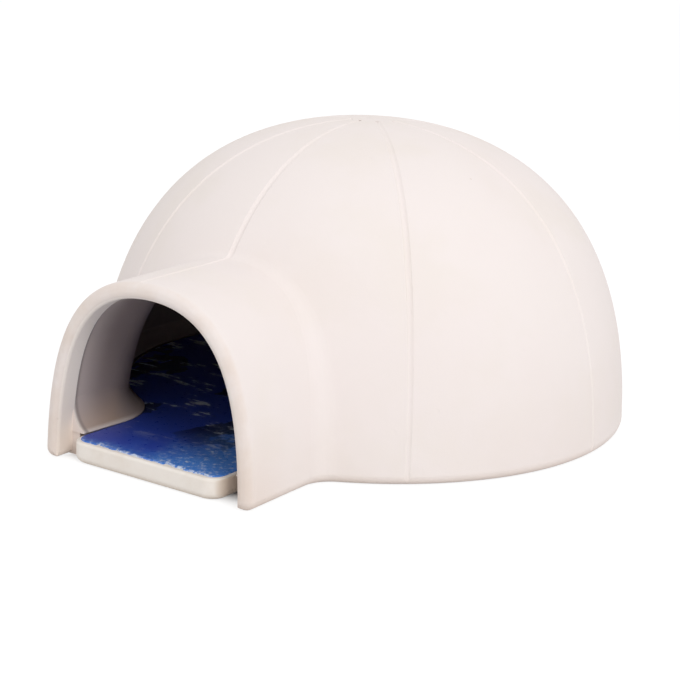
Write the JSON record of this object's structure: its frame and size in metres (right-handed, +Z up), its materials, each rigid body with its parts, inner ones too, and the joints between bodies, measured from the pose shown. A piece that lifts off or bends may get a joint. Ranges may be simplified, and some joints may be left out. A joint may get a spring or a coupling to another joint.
{
  "type": "rodent igloo",
  "caption": "Ceramic hamster house: a white dome in grooved panels with an arched entrance tunnel that lifts off a flat cooling plate with a blue glazed top and a tongue at the mouth.",
  "frame": {"origin": "on the floor, on the dome's axis, at the middle of the plate's underside", "axes": "+Z up, -Y out of the entrance, +X to the right when looking into the entrance"},
  "size_m": [0.1596, 0.1828, 0.0866],
  "materials": {
    "bisque": "matt unglazed slip-cast clay",
    "plate_body": "matt unglazed clay",
    "blue_glaze": "fired blue glaze"
  },
  "bodies": {
    "plate": {"base_plate": "plate_body", "glaze_coat": "blue_glaze"},
    "dome": {"dome_shell": "bisque"}
  },
  "joints": [
    {"name": "dome_lift", "type": "slide", "parent": "plate", "child": "dome", "axis": [0, 0, 1], "range_m": [0, 0.12]}
  ]
}
